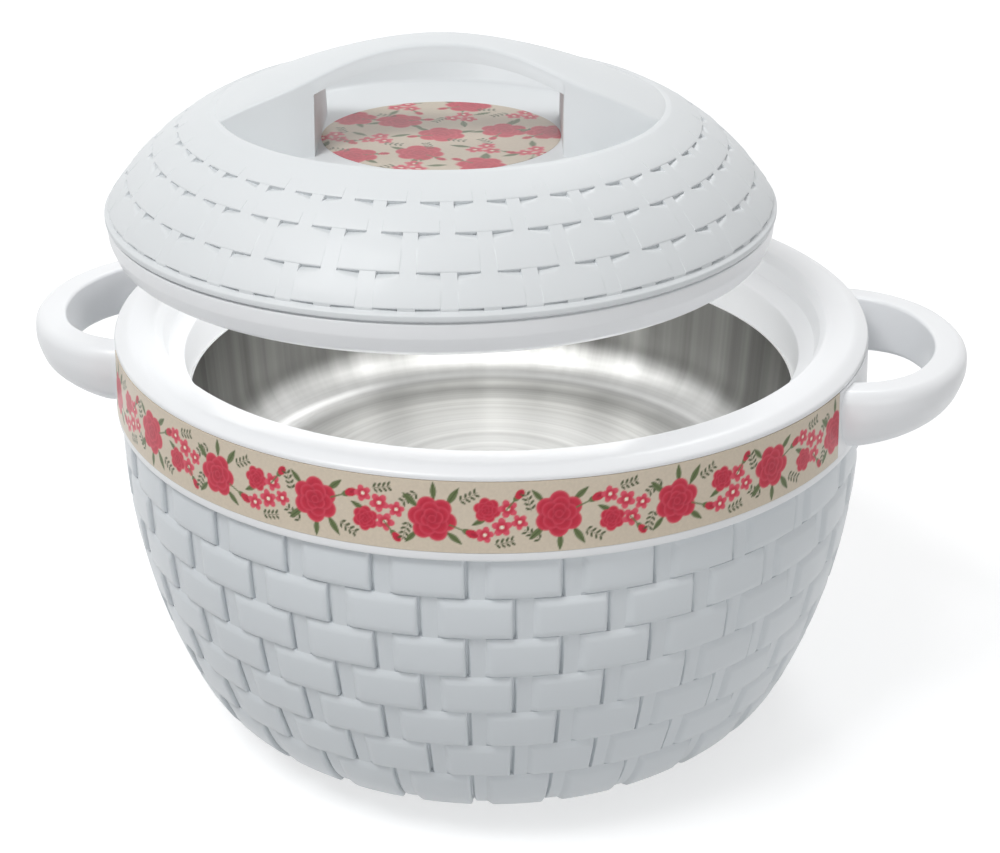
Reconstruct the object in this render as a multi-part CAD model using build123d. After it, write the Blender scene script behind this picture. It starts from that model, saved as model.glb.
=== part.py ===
"""Insulated food pot: a round double-walled serving pot with a lift-off lid.

The frame has its origin on the table under the pot's axis, +Z up and the two
loop handles along X. The lid is modelled where the picture of the pot shows
it, held above the mouth and a little to one side, turned from the handles.
All sizes are in millimetres and angles in degrees.
"""

from build123d import *
import math
import os

# Body: the basket-weave casing is a bowl made of a straight neck, a long side
# arc and a tighter bottom arc, with its top hidden under the rim's skirt. The
# rim, handles, liner and lid are measured from its radius and its neck.
casing_radius = 148.7
casing_wall = 2.5
side_arc_radius = 238.0
side_arc_turn = 23.5
bottom_arc_radius = 36.0
neck_bottom = 125.0
neck_height = 15.5
skirt_bottom = neck_bottom + neck_height
spigot_height = 9.5
casing_floor_hole = 90.0

# Basket weave: blocks stand proud of the wall, and each row is turned by half a block
blocks_per_row = 28
block_share = 0.79
block_relief = 0.8
block_bevel = 0.8
row_gap = 0.9
body_row_count = 7
row_height = 16.0
row_growth = 1.03
lowest_row_height = 27.0
flat_length = 19.5
lining_flat_length = 24.0

# Base: a cover snapped into the casing's floor carries the foot ring
foot_ledge = 4.9
foot_radius = casing_floor_hole + foot_ledge
foot_width = 3.4
base_wall = 2.5

# Rim, outside: a skirt with a bead, the band's channel above it and a rounded lip
skirt_step = 1.2
skirt_inner_radius = casing_radius - skirt_step
skirt_bead_proud = 3.2
skirt_bead_radius = casing_radius + skirt_bead_proud
skirt_bead_height = 3.7
bead_chamfer = 0.9
band_proud = 3.3
band_bottom_radius = casing_radius + band_proud
band_taper = 1.4
band_top_radius = band_bottom_radius - band_taper
band_thickness = 1.0
band_height = 30.1
band_top = skirt_bottom + band_height
rim_lip_step = 0.2
rim_lip_radius = band_top_radius - rim_lip_step

# Rim, top: the crown falls to a shoulder outside and to the mouth's edge inside
crown_rise = 4.4
rim_crown = band_top + crown_rise
crown_drop = 1.6
shoulder_width = 4.2
crown_shoulder_radius = rim_lip_radius - shoulder_width
shoulder_drop = 0.5
crown_shoulder = rim_crown - shoulder_drop
crown_width = 18.8
mouth_radius = rim_lip_radius - crown_width
crown_inner_width = 9.4
rim_crown_radius = mouth_radius + crown_inner_width
rim_wall = 2.3
rim_edge_rise = 3.0

# Rim, inside: a recess for the lid's ring, a cone for its foot and a throat for the liner
mouth_drop = 3.8
mouth_edge = rim_crown - mouth_drop
recess_lean = 1.7
recess_foot_radius = mouth_radius - recess_lean
recess_depth = 6.2
recess_foot = mouth_edge - recess_depth
seat_width = 6.0
seat_inner_radius = recess_foot_radius - seat_width
seat_slope = 36.4
throat_lean = 0.6
throat_radius = seat_inner_radius - throat_lean
throat_depth = 20.0
throat_bottom = recess_foot - throat_depth

# Steel liner: straight-drawn bowl whose flange is held under the rim's throat
liner_wall = 0.8
throat_overhang = 0.9
liner_top_radius = throat_radius - throat_overhang
liner_floor_inset = 25.4
liner_floor_radius = liner_top_radius - liner_floor_inset
liner_depth = 52.0
liner_floor = throat_bottom - liner_depth
liner_corner_radius = 24.0
liner_corner_steps = 3
liner_flange_width = 4.6
liner_flange_radius = liner_top_radius + liner_flange_width

# Handles: a D-shaped loop and a saddle plate that fills the band's gap
handle_projection = 40.8
handle_reach = casing_radius + handle_projection
handle_half_width = 57.0
handle_thickness = 13.0
handle_depth = 19.0
handle_top_drop = 1.6
handle_top = band_top - handle_top_drop
handle_root_drop = 5.5
handle_round = 5.0
handle_edge = 1.2
handle_corner_radius = 40.0
handle_corner_turn = 60.0
handle_stations = 10
saddle_angle = 23.0

# Lid ring: the plain skirt that drops into the rim's recess
mouth_clearance = 1.5
lid_radius = mouth_radius - mouth_clearance
lid_ring_height = 13.5
lid_foot_inset = 5.0
lid_ring_foot_radius = lid_radius - lid_foot_inset
lid_cone_width = 2.7
lid_ring_full = 7.5
lid_ring_lean = 0.2
lid_ring_wall = 2.4
lid_land_width = 9.1
lid_ring_land = lid_ring_foot_radius - lid_land_width
lid_groove = 0.9
lid_groove_depth = 1.4

# Lid dome: heights are above the groove, and its woven side is left smooth here
lid_bead_proud = 0.6
lid_bead_radius = lid_radius + lid_bead_proud
lid_bead_height = 2.6
lid_bead_chamfer = 0.7
lid_wall = 2.2
lid_bead_step = 1.7
lid_foot_radius = lid_bead_radius - lid_bead_step
lid_foot_rise = 1.0
lid_foot = lid_bead_height + lid_foot_rise

# Pocket: a round hollow in the dome with a leaning wall, inside the woven side
woven_width = 43.0
pocket_radius = lid_foot_radius - woven_width
pocket_lean = 7.0
pocket_floor_radius = pocket_radius - pocket_lean
pocket_floor = 25.6
pocket_depth = 13.6
pocket_rim = pocket_floor + pocket_depth
lid_side_middle_inset = 17.6
lid_side_middle_radius = lid_foot_radius - lid_side_middle_inset
lid_side_middle_drop = 15.8
lid_side_middle = pocket_rim - lid_side_middle_drop
dome_rise = 25.0
dome_top = pocket_rim + dome_rise
dome_fall = [(24.0, 3.3), (48.0, 9.4)]
dome_cap_slope = (1.0, -0.43)

# Bridge handle: the dome's own surface carried across the pocket, narrow in the middle
bridge_half_width = 9.7
bridge_neck = 16.0
bridge_end_width = 20.3
bridge_end_start = 56.0
bridge_draft = 15.5
bridge_overrun = 6.0
window_half = 46.5
window_side_drop = 16.6
window_side_top = dome_top - window_side_drop
bridge_thickness = 6.9
window_top = dome_top - bridge_thickness

# Printed disc in the pocket, lid filling and the steel plate under it
disc_radius = 46.5
disc_thickness = 0.8
lid_plate_wall = 0.6
lid_plate_lap = 2.6
lid_plate_radius = lid_ring_land + lid_plate_lap
lid_plate_dish = 6.0
lid_plate_rim_width = 18.6
lid_plate_dish_radius = lid_plate_radius - lid_plate_rim_width

# Fits between pieces
snap_clearance = 0.1
seat_clearance = 0.3

# How the lid hangs in the picture: its shift, its lift above the seat and its turn
lid_shift_x = -19.2
lid_shift_y = -2.4
lid_lift = 43.8
lid_turn = 8.4

block_pitch = 360 / blocks_per_row
casing_floor = neck_bottom - side_arc_radius * math.sin(math.radians(side_arc_turn)) - bottom_arc_radius * (
    1 - math.sin(math.radians(side_arc_turn))
)


def ring(points):
    """Solid of revolution from a closed outline of (radius, height) points."""
    outline = Plane.XZ * make_face(Polyline(*points, close=True))
    return revolve(outline, axis=Axis.Z)


def ring_from_edges(edges):
    """Solid of revolution from edges that close an outline in the radius-height plane."""
    outline = Plane.XZ * make_face(edges)
    return revolve(outline, axis=Axis.Z)


def bowl_curve(inset, top):
    """Side of the bowl, drawn downwards, moved inwards by the inset."""
    turn = math.radians(side_arc_turn)
    side_centre = casing_radius - side_arc_radius
    side = side_arc_radius - inset
    bottom = bottom_arc_radius - inset
    low_centre = (
        side_centre + (side_arc_radius - bottom_arc_radius) * math.cos(turn),
        neck_bottom - (side_arc_radius - bottom_arc_radius) * math.sin(turn),
    )
    neck = Line((casing_radius - inset, top), (casing_radius - inset, neck_bottom))
    upper = CenterArc((side_centre, neck_bottom), side, 0, -side_arc_turn)
    lower = CenterArc(low_centre, bottom, -side_arc_turn, side_arc_turn - 90)
    return Wire([neck.edge(), upper.edge(), lower.edge()])


def beside(curve, station, outward=0.0):
    """Point at a length along a curve of the outline, moved outwards from the surface."""
    place = curve.position_at(station, position_mode=PositionMode.LENGTH)
    heading = curve.tangent_at(station, position_mode=PositionMode.LENGTH)
    return (place.X - heading.Y * outward, place.Y + heading.X * outward)


def body_rows():
    """Where the weave rows of the casing start and end, as lengths down the bowl's side."""
    ends = [0.0]
    for row in range(body_row_count - 1):
        ends.append(ends[-1] + row_height * row_growth**row)
    ends.append(ends[-1] + lowest_row_height)
    return list(zip(ends[:-1], ends[1:]))


def row_stations(start, end, longest):
    """Lengths from a row's start to its end in equal steps, none longer than the given one."""
    steps = math.ceil((end - start) / longest)
    return [start + (end - start) * step / steps for step in range(steps + 1)]


def weave_block(curve, start, end):
    """One flat-faced block of the weave between two lengths down a curve, centred on +X."""
    first, last = start + row_gap, end - row_gap
    face = row_stations(first + block_bevel, last - block_bevel, flat_length)
    section = [
        beside(curve, first - block_bevel, -block_relief),
        *[beside(curve, station, block_relief) for station in face],
        beside(curve, last + block_bevel, -block_relief),
        *[beside(curve, station, -block_relief) for station in reversed(face[1:-1])],
    ]
    plate = extrude(Plane.XZ * make_face(Polyline(*section, close=True)), amount=row_height, both=True)
    return plate & sector(block_pitch * block_share / 2, 2 * casing_radius)


def weave(curve, rows):
    """Blocks for every row down a curve, each row turned by half a block from the last."""
    blocks = []
    for row, (start, end) in enumerate(rows):
        block = weave_block(curve, start, end)
        turn = (row % 2) * block_pitch / 2
        blocks += [Rot(0, 0, turn + k * block_pitch) * block for k in range(blocks_per_row)]
    return blocks


def casing_lining():
    """Inside of the casing's wall, drawn downwards, as points shared with the foam."""
    curve = bowl_curve(0, skirt_bottom)
    return [beside(curve, station, -casing_wall) for station in row_stations(0, curve.length, lining_flat_length)]


def outer_shell():
    """Basket-weave casing, open at the top and with a hole for the base cover."""
    curve = bowl_curve(0, skirt_bottom)
    rows = body_rows()
    spigot = skirt_inner_radius - snap_clearance
    spigot_top = skirt_bottom + spigot_height
    wall = [beside(curve, start) for start, end in rows] + [beside(curve, rows[-1][1] - lowest_row_height / 2)]
    casing = ring([
        (spigot, spigot_top),
        (spigot, skirt_bottom),
        *wall,
        beside(curve, rows[-1][1]),
        beside(curve, curve.length),
        (casing_floor_hole, casing_floor),
        (casing_floor_hole, casing_floor + casing_wall),
        *reversed(casing_lining()),
        (casing_radius - casing_wall, spigot_top),
    ])
    return casing.fuse(*weave(curve, rows))


def base_cover():
    """Cover snapped into the casing's floor, with the foot ring round its edge."""
    ledge = casing_floor - base_wall
    plate_edge = casing_floor_hole - snap_clearance
    return ring([
        (0, ledge),
        (foot_radius - foot_width, ledge),
        (foot_radius - foot_width, 0),
        (foot_radius, 0),
        (foot_radius, casing_floor),
        (plate_edge, casing_floor),
        (plate_edge, casing_floor + base_wall),
        (plate_edge - base_wall, casing_floor + base_wall),
        (plate_edge - base_wall, casing_floor),
        (0, casing_floor),
    ])


def seat_height(radius):
    """Height of the conical lid seat in the rim at a radius."""
    return recess_foot - (recess_foot_radius - radius) * math.tan(math.radians(seat_slope))


def rim_collar():
    """Rim ring: skirt with bead and band channel, crown, recess wall, lid seat and throat."""
    bead_top = skirt_bottom + skirt_bead_height
    seat_inner = seat_height(seat_inner_radius)
    under_crown = rim_crown - rim_wall - crown_drop
    return ring([
        (skirt_inner_radius, under_crown),
        (skirt_inner_radius, skirt_bottom),
        (channel_radius(0), skirt_bottom),
        (skirt_bead_radius, skirt_bottom + bead_chamfer),
        (skirt_bead_radius, bead_top - bead_chamfer),
        (channel_radius(0), bead_top),
        (channel_radius(1), band_top),
        (rim_lip_radius, band_top),
        (rim_lip_radius, band_top + bead_chamfer),
        (crown_shoulder_radius, crown_shoulder),
        (rim_crown_radius, rim_crown),
        (mouth_radius + rim_edge_rise, mouth_edge + rim_edge_rise),
        (mouth_radius, mouth_edge),
        (recess_foot_radius, recess_foot),
        (seat_inner_radius, seat_inner),
        (throat_radius, throat_bottom),
        (throat_radius + rim_wall, throat_bottom),
        (seat_inner_radius + rim_wall, seat_inner - rim_wall / 2),
        (recess_foot_radius + rim_wall / 3, recess_foot - rim_wall),
        (recess_foot_radius + rim_wall, recess_foot - rim_wall / 2),
        (mouth_radius + rim_wall, mouth_edge - rim_wall / 2),
        (rim_crown_radius, rim_crown - rim_wall),
    ])


def channel_radius(rise):
    """Radius of the band channel's floor, from its bottom at 0 to its top at 1."""
    return band_bottom_radius + (band_top_radius - band_bottom_radius) * rise - band_thickness


def band_ring():
    """Full printed band in its channel, before the handles' gaps are cut."""
    bottom = skirt_bottom + skirt_bead_height + snap_clearance
    top = band_top - snap_clearance
    return ring([
        (channel_radius(0) + snap_clearance, bottom),
        (band_bottom_radius, bottom),
        (band_top_radius, top),
        (channel_radius(1) + snap_clearance, top),
    ])


def sector(half_angle, reach):
    """Wedge about +X, wide enough to cut a ring at plus and minus the half angle."""
    x = reach * math.cos(math.radians(half_angle))
    y = reach * math.sin(math.radians(half_angle))
    outline = make_face(Polyline((0, 0), (x, -y), (reach, 0), (x, y), close=True))
    return extrude(outline, amount=rim_crown)


def pattern_band(side):
    """Printed strip between the two handle saddles, on the front or the back."""
    gap = saddle_angle + math.degrees(snap_clearance / band_top_radius)
    strip = band_ring().cut(sector(gap, 2 * band_top_radius), Rot(0, 0, 180) * sector(gap, 2 * band_top_radius))
    return next(solid for solid in strip.solids() if solid.center().Y * side > 0)


def handle_path():
    """Centre line of a handle's loop in plan: out of the rim, round two corners and across the tip."""
    turn = math.radians(handle_corner_turn)
    half = handle_half_width - handle_thickness / 2
    tip = handle_reach - handle_thickness / 2
    tip_radius = (half - handle_corner_radius * (1 - math.cos(turn))) / math.cos(turn)
    start = tip - handle_corner_radius * math.sin(turn) - tip_radius * (1 - math.sin(turn))
    root = Line((skirt_inner_radius - handle_thickness, -half), (start, -half))
    corner = CenterArc((start, handle_corner_radius - half), handle_corner_radius, -90, handle_corner_turn)
    across = CenterArc((tip - tip_radius, 0), tip_radius, handle_corner_turn - 90, 180 - 2 * handle_corner_turn)
    far_corner = mirror(corner, about=Plane.XZ)
    far_root = mirror(root, about=Plane.XZ)
    return Wire([e.edge() for e in (root, corner, across, far_corner, far_root)])


def round_points(x, y, x_way, y_way):
    """Three points that round an outer corner of the loop's section."""
    near = handle_round * (1 - math.sqrt(0.5))
    points = [(x + x_way * handle_round, y), (x + x_way * near, y + y_way * near), (x, y + y_way * handle_round)]
    return points if y_way > 0 else list(reversed(points))


def handle_section(path, station):
    """Rounded section of the loop at a station of its path, deeper towards the rim."""
    place = path.position_at(station)
    reach = (handle_reach - place.X) / (handle_reach - skirt_inner_radius)
    depth = handle_depth + handle_root_drop * min(reach, 1)
    heading = path.tangent_at(station)
    outward = Vector(heading.Y, -heading.X, 0)
    half = handle_thickness / 2
    outline = Polyline(
        (-half, handle_edge),
        (-half + handle_edge, 0),
        *round_points(half, 0, -1, 1),
        *round_points(half, depth, -1, -1),
        (-half + handle_edge, depth),
        (-half, depth - handle_edge),
        close=True,
    )
    plane = Plane(origin=(place.X, place.Y, handle_top), x_dir=outward, z_dir=heading)
    return plane * make_face(outline)


def handle():
    """Loop handle on +X with its saddle plate, seated on the rim's skirt."""
    path = handle_path()
    stations = [step / handle_stations for step in range(handle_stations + 1)]
    loop = loft([handle_section(path, station) for station in stations])
    saddle = band_ring() & sector(saddle_angle, 2 * band_top_radius)
    skirt = ring([
        (0, skirt_bottom),
        (channel_radius(0), skirt_bottom),
        (channel_radius(0), skirt_bottom + skirt_bead_height),
        (channel_radius(1), band_top),
        (0, band_top),
    ])
    return (loop - skirt) + saddle


def liner_corner(outset):
    """Corner between the liner's floor and side, as points, on its inside or outside."""
    centre = (liner_floor_radius, liner_floor + liner_corner_radius)
    radius = liner_corner_radius + outset
    turns = [math.radians(90 * step / liner_corner_steps) for step in range(liner_corner_steps + 1)]
    return [(centre[0] + radius * math.sin(turn), centre[1] - radius * math.cos(turn)) for turn in turns]


def steel_liner():
    """Inner steel bowl with a narrow flange under the rim's throat."""
    top = throat_bottom - liner_wall
    return ring([
        (0, liner_floor),
        *liner_corner(0),
        (liner_top_radius, throat_bottom),
        (liner_flange_radius, throat_bottom),
        (liner_flange_radius, top),
        (liner_top_radius + liner_wall, top),
        *reversed(liner_corner(liner_wall)),
        (0, liner_floor - liner_wall),
    ])


def foam_fill():
    """Foam between the casing, the base cover and the steel liner."""
    top = throat_bottom - liner_wall
    bottom = casing_floor + base_wall
    return ring([
        *liner_corner(liner_wall),
        (liner_top_radius + liner_wall, top),
        (casing_radius - casing_wall, top),
        *casing_lining(),
        (0, bottom),
        (0, liner_floor - liner_wall),
    ])


def lid_ring():
    """Plain lid skirt with a conical foot for the seat and a land for the steel plate."""
    top = -lid_groove / 2
    bottom = top - lid_ring_height + lid_groove / 2
    inner = lid_radius - lid_ring_wall
    spigot = lid_radius - lid_groove_depth
    foot_rise = lid_cone_width * math.tan(math.radians(seat_slope))
    return ring([
        (lid_ring_land, bottom),
        (lid_ring_foot_radius, bottom),
        (lid_ring_foot_radius + lid_cone_width, bottom + foot_rise),
        (lid_radius - lid_ring_lean, bottom + lid_ring_full),
        (lid_radius, top),
        (spigot, top),
        (spigot, lid_groove / 2),
        (inner - snap_clearance, lid_groove / 2),
        (inner - snap_clearance, bottom + lid_ring_wall),
        (lid_ring_land, bottom + lid_ring_wall),
    ])


def dome_side():
    """The dome's woven side, drawn downwards from the pocket's rim to the bead."""
    return ThreePointArc(
        (pocket_radius, pocket_rim),
        (lid_side_middle_radius, lid_side_middle),
        (lid_foot_radius, lid_foot),
    ).edge()


def dome_points(outward=0.0):
    """Corners of the dome's side from the pocket's rim to the bead, moved outwards from it."""
    side = dome_side()
    return [beside(side, station, outward) for station in row_stations(0, side.length, flat_length)]


def dome_solid():
    """The dome without its pocket, solid down to the groove."""
    base = lid_groove / 2
    fall = [(radius, dome_top - drop) for radius, drop in dome_fall]
    cap = Spline((0, dome_top), *fall, (pocket_radius, pocket_rim), tangents=[(1, 0), dome_cap_slope])
    outline = Polyline(
        *dome_points(),
        (lid_bead_radius, lid_bead_height),
        (lid_bead_radius, base + lid_bead_chamfer),
        (lid_bead_radius - lid_bead_chamfer, base),
        (0, base),
        (0, dome_top),
    )
    return ring_from_edges([cap.edge(), *outline.edges()])


def bridge_outline(level):
    """Plan of the bridge at a height: narrow in the middle and wide where it meets the pocket's wall."""
    spread = (dome_top - level) * math.tan(math.radians(bridge_draft))
    reach = pocket_radius + bridge_overrun
    narrow = bridge_half_width + spread
    wide = bridge_end_width + spread

    def side(sign):
        return [
            Line((-bridge_neck * sign, narrow * sign), (bridge_neck * sign, narrow * sign)),
            Spline(
                (bridge_neck * sign, narrow * sign),
                (bridge_end_start * sign, wide * sign),
                tangents=[(sign, 0), (sign, 0)],
            ),
            Line((bridge_end_start * sign, wide * sign), (reach * sign, wide * sign)),
            Line((reach * sign, wide * sign), (reach * sign, 0)),
            Line((reach * sign, 0), (reach * sign, -wide * sign)),
            Line((reach * sign, -wide * sign), (bridge_end_start * sign, -wide * sign)),
            Spline(
                (bridge_end_start * sign, -wide * sign),
                (bridge_neck * sign, -narrow * sign),
                tangents=[(-sign, 0), (-sign, 0)],
            ),
        ]

    edges = [line.edge() for line in side(1) + side(-1)]
    return Pos(0, 0, level) * make_face(edges)


def bridge_prism():
    """Drafted block with the bridge's plan, from under the pocket's floor to above the dome."""
    low = pocket_floor - lid_wall / 2
    high = dome_top + bridge_overrun
    return loft([bridge_outline(low), bridge_outline(high)], ruled=True)


def window():
    """Finger opening under the bridge, arched at the top and open to front and back."""
    half = window_half
    arch = ThreePointArc((half, window_side_top), (0, window_top), (-half, window_side_top))
    frame = Polyline(
        (-half, window_side_top),
        (-half, pocket_floor),
        (half, pocket_floor),
        (half, window_side_top),
    )
    face = Plane.XZ * make_face([arch.edge(), *frame.edges()])
    return extrude(face, amount=pocket_radius, both=True)


def lid_hollow():
    """Corners of the foam space inside the lid, under the pocket and up into the dome's edge."""
    under_side = dome_points(-lid_wall)[1:-1]
    spigot = lid_radius - lid_ring_wall - snap_clearance
    return [
        (0, pocket_floor - lid_wall),
        (pocket_floor_radius + lid_wall, pocket_floor - lid_wall),
        beside(dome_side(), 2 * lid_wall, -lid_wall),
        *under_side,
        (spigot, lid_foot),
        (spigot, lid_groove / 2),
        (0, lid_groove / 2),
    ]


def lid_shell():
    """Lid dome with its round pocket, bridge handle and finger opening."""
    dome = dome_solid()
    pocket = ring([
        (0, pocket_floor),
        (pocket_floor_radius, pocket_floor),
        (pocket_radius, pocket_rim),
        (pocket_radius, dome_top + bridge_overrun),
        (0, dome_top + bridge_overrun),
    ])
    bridge = (dome & bridge_prism() & pocket) - window()
    disc_seat = Cylinder(disc_radius + snap_clearance, disc_thickness, align=(Align.CENTER, Align.CENTER, Align.MAX))
    return (dome - pocket - ring(lid_hollow())) + bridge - Pos(0, 0, pocket_floor) * disc_seat


def lid_disc():
    """Printed disc let into the pocket's floor under the bridge."""
    disc = Cylinder(disc_radius, disc_thickness, align=(Align.CENTER, Align.CENTER, Align.MAX))
    return Pos(0, 0, pocket_floor) * disc


def lid_plate_points(drop):
    """Outline of the lid's dished steel plate, moved down by the drop."""
    land = -lid_ring_height + lid_ring_wall - drop
    return [
        (lid_plate_radius, land + lid_plate_wall),
        (lid_plate_dish_radius + lid_plate_dish, land + lid_plate_wall),
        (lid_plate_dish_radius, land + lid_plate_wall + lid_plate_dish),
        (0, land + lid_plate_wall + lid_plate_dish),
    ]


def lid_plate():
    """Dished steel plate that closes the lid's underside, resting on the ring's land."""
    upper = lid_plate_points(0)
    lower = lid_plate_points(lid_plate_wall)
    return ring(upper + list(reversed(lower)))


def lid_foam():
    """Foam between the lid's dome, ring and steel plate."""
    land = -lid_ring_height + lid_ring_wall
    return ring([
        *lid_hollow()[:-2],
        (lid_radius - lid_ring_wall - snap_clearance, land),
        (lid_plate_radius, land),
        *lid_plate_points(0),
    ])


def lid_place():
    """Where the lid's groove lies in the picture: shifted, lifted and turned above its seat."""
    foot_seat = seat_height(lid_ring_foot_radius) + seat_clearance
    groove = foot_seat + lid_ring_height + lid_lift
    return Pos(lid_shift_x, lid_shift_y, groove) * Rot(0, 0, lid_turn)


def build_parts():
    """All pieces in their places, by node name."""
    opposite = Rot(0, 0, 180)
    hung = lid_place()
    right = handle()
    return {
        "outer_shell": outer_shell(),
        "base_cover": base_cover(),
        "rim_collar": rim_collar(),
        "pattern_band_front": pattern_band(-1),
        "pattern_band_back": pattern_band(1),
        "steel_liner": steel_liner(),
        "foam_fill": foam_fill(),
        "handle_right": right,
        "handle_left": opposite * right,
        "lid_shell": hung * lid_shell(),
        "lid_ring": hung * lid_ring(),
        "lid_disc": hung * lid_disc(),
        "lid_plate": hung * lid_plate(),
        "lid_foam": hung * lid_foam(),
    }


os.makedirs("parts", exist_ok=True)
for node, piece in build_parts().items():
    export_step(piece, f"parts/{node}.step")
    print(node, len(piece.solids()), "solids", round(piece.volume / 1000, 1), "cm3")
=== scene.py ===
"""Looks for the insulated food pot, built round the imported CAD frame.

Blender works in metres. The pieces' sizes are written in millimetres, and a piece that
is turned round an axis has its profile as points (radius, height).
"""

import math

import bmesh
import bpy
import numpy as np
from mathutils import Matrix, Vector


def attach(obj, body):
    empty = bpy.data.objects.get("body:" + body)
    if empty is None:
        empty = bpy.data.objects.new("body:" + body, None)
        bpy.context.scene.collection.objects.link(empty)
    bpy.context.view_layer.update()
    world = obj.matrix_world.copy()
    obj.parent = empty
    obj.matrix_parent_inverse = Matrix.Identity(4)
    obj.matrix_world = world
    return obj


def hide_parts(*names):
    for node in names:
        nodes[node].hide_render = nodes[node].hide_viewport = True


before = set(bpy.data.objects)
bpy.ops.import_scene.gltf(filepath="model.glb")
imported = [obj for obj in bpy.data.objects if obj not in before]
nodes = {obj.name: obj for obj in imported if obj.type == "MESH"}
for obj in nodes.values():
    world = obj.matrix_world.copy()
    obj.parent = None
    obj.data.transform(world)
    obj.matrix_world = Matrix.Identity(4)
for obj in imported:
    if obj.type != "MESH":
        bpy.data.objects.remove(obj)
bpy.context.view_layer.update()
MM = 0.001

# Casing
# One polypropylene moulding: a bowl with a basket weave of flat raised blocks, 28 to a
# row, each row turned by half a block. It is gloss plastic, coloured a little greyer than the rim,
# and part of that grey is painted shade for its upright side.
CASING_RADIUS = 148.7
CASING_WALL = 2.5
NECK_TOP = 140.5
NECK_BOTTOM = 125.0
SPIGOT_RADIUS = 147.4
SPIGOT_TOP = 150.0
SHOULDER = 140.48  # just under the neck's top, where the woven side begins
SIDE_ARC_RADIUS = 238.0
SIDE_ARC_TURN = math.radians(23.5)
BOTTOM_ARC_RADIUS = 36.0
COVER_HOLE_RADIUS = 90.3
INNER_STEPS = 13
LOW_STEPS = 5
CREASE = 40.0  # degrees past which an edge is crisp

# the weave's turns are in degrees round the pot, its lengths in millimetres down the side
BLOCKS_ROUND = 28
PITCH = 360 / BLOCKS_ROUND
BLOCK_HALF = 5.08
BLOCK_RELIEF = 1.7
BLOCK_LEFT_SLOPE = 1.1
BLOCK_RIGHT_ROUND = 0.35
BLOCK_TOP_SLOPE = 3.6
BLOCK_FOOT_ROUND = 0.9
GROOVE_DEPTH = 0.6
FOOT_DEEPER = 1.8  # how much deeper the groove is beside a block's foot
FOOT_SHARE = 0.8  # and from what share of a row's length
GROOVE_TURN = 0.28
STRIP_RISE = 1.0
STRIP_ROUND = 0.34
ROW_GAP = 0.3
ROW_GAP_RISE = 0.05
FIRST_ROW = 16.0
ROW_GROWTH = 1.03
LAST_ROW = 27.0  # the row that runs in under the bowl
ROW_LENGTHS = [FIRST_ROW * ROW_GROWTH**row for row in range(6)] + [LAST_ROW]

# where the weave is drawn: turns from the middle of a block and inwards from its left
# edge or outwards from its right edge, and lengths inwards from its top and its foot
STEP = 0.03
MIDDLE_TURNS = (0.0, 3.0, -2.0)
LEFT_TURNS = (BLOCK_LEFT_SLOPE, 0.75, 0.4, 0.15, STEP, -STEP, -0.2)
RIGHT_TURNS = (-BLOCK_RIGHT_ROUND, -0.12, -STEP, STEP, GROOVE_TURN, 0.3, GROOVE_TURN + STRIP_ROUND)
TOP_LENGTHS = (-STEP, STEP, 1.0, 2.2, BLOCK_TOP_SLOPE)
FOOT_LENGTHS = (-STEP, STEP, 0.3, BLOCK_FOOT_ROUND, 3.0)
LAST_ROW_LENGTHS = (8, 12, 16, 20)

# pattern scales are per metre: flow clouds 70 mm across, handling marks 11 mm, and the
# orange peel of a polished mould 3 mm
FLOW_SCALE = 14.0
MARKS_SCALE = 90.0
PEEL_SCALE = 330.0
PEEL_HEIGHT = 0.3 * MM
GLOSS_SPREAD = (-0.06, 0.08)


def linear(colour):
    """Linear RGBA from an sRGB hex colour."""
    parts = [int(colour[i : i + 2], 16) / 255 for i in (1, 3, 5)]
    return [p / 12.92 if p <= 0.04045 else ((p + 0.055) / 1.055) ** 2.4 for p in parts] + [1.0]


def add(tree, kind, links=None, **settings):
    """Adds a node; links gives its inputs by name or number, as values or as sockets."""
    node = tree.nodes.new(kind)
    for name, value in settings.items():
        setattr(node, name, value)
    for key, value in (links or {}).items():
        socket = node.inputs[key]
        if isinstance(value, bpy.types.NodeSocket):
            tree.links.new(value, socket)
        else:
            socket.default_value = value
    return node


def material(name, colour, roughness, **constants):
    """A material with one Principled shader, its tree, and the shader node."""
    made = bpy.data.materials.new(name)
    made.use_nodes = True
    tree = made.node_tree
    tree.nodes.clear()
    values = {"Base Color": linear(colour), "Roughness": roughness, **constants}
    shader = add(tree, "ShaderNodeBsdfPrincipled", values)
    add(tree, "ShaderNodeOutputMaterial", {"Surface": shader.outputs["BSDF"]})
    return made, tree, shader


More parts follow.
